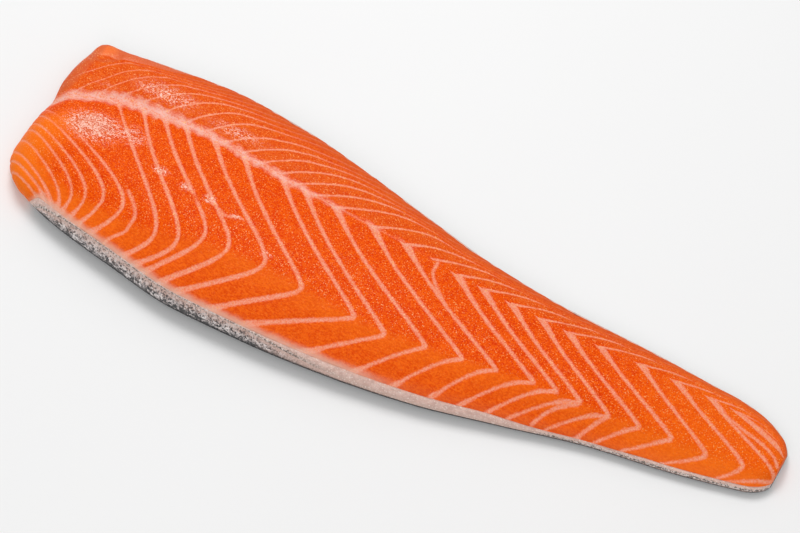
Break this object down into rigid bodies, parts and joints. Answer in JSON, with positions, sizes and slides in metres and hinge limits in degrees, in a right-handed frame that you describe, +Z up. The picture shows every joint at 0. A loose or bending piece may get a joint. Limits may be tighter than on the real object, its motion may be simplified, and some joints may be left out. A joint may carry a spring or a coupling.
{
  "type": "raw salmon fillet",
  "caption": "Whole trimmed side of raw salmon lying on its skin, orange flesh with pale chevron fat lines, cut flat at the head and tail ends.",
  "frame": {"origin": "centre of the bounding box on the surface the fillet lies on", "axes": "+X from the head end to the tail end, -Y towards the thick back edge, +Y towards the thin belly edge, +Z up out of the flesh"},
  "size_m": [0.48, 0.1465, 0.0284],
  "materials": {
    "flesh": "wet",
    "fat": "wet",
    "skin": "wet, silvery scales"
  },
  "bodies": {
    "root": {"flesh": "flesh", "fat": "fat", "skin": "skin"}
  },
  "joints": []
}
